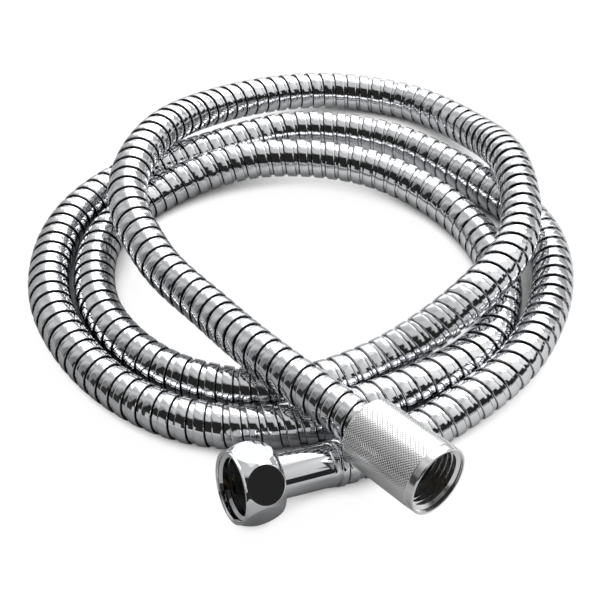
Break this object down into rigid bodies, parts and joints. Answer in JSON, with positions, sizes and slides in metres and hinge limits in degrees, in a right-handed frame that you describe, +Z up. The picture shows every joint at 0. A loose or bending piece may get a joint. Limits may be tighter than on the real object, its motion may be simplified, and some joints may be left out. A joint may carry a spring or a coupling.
{
  "type": "shower hose",
  "caption": "Coiled flexible metal shower hose with a hexagon union nut on one end and a long knurled union nut on the other.",
  "frame": {"origin": "on the resting surface, below the middle of the coil's box", "axes": "+Z up from the surface the coil lies on, -Y towards the two nuts, +X to the right seen from the nuts' side"},
  "size_m": [0.2003, 0.2439, 0.039],
  "materials": {
    "hose_metal": "polished strip-wound casing",
    "chrome": "mirror chrome plate",
    "knurled_chrome": "chrome plate over a diamond knurl",
    "brass": "turned, dull",
    "rubber": "matte black",
    "liner": "smooth dark tube"
  },
  "bodies": {
    "hose": {"hose_casing": "hose_metal", "hose_liner": "liner", "hex_end_collar": "chrome", "hex_end_nipple": "brass", "hex_end_clamp_ring": "brass", "hex_end_washer": "rubber", "knurled_end_collar": "chrome", "knurled_end_nipple": "brass", "knurled_end_clamp_ring": "brass", "knurled_end_washer": "rubber"},
    "hex_union": {"hex_nut": "chrome"},
    "knurled_union": {"knurled_nut": "knurled_chrome"}
  },
  "joints": [
    {"name": "hex_nut_turn", "type": "hinge", "parent": "hose", "child": "hex_union", "pos_m": [0.012, -0.0912, 0.0088], "axis": [-0.8875, -0.4236, 0.1815], "continuous": true},
    {"name": "knurled_nut_turn", "type": "hinge", "parent": "hose", "child": "knurled_union", "pos_m": [0.0269, -0.0997, 0.0262], "axis": [0.669, -0.7389, 0.0799], "continuous": true}
  ]
}
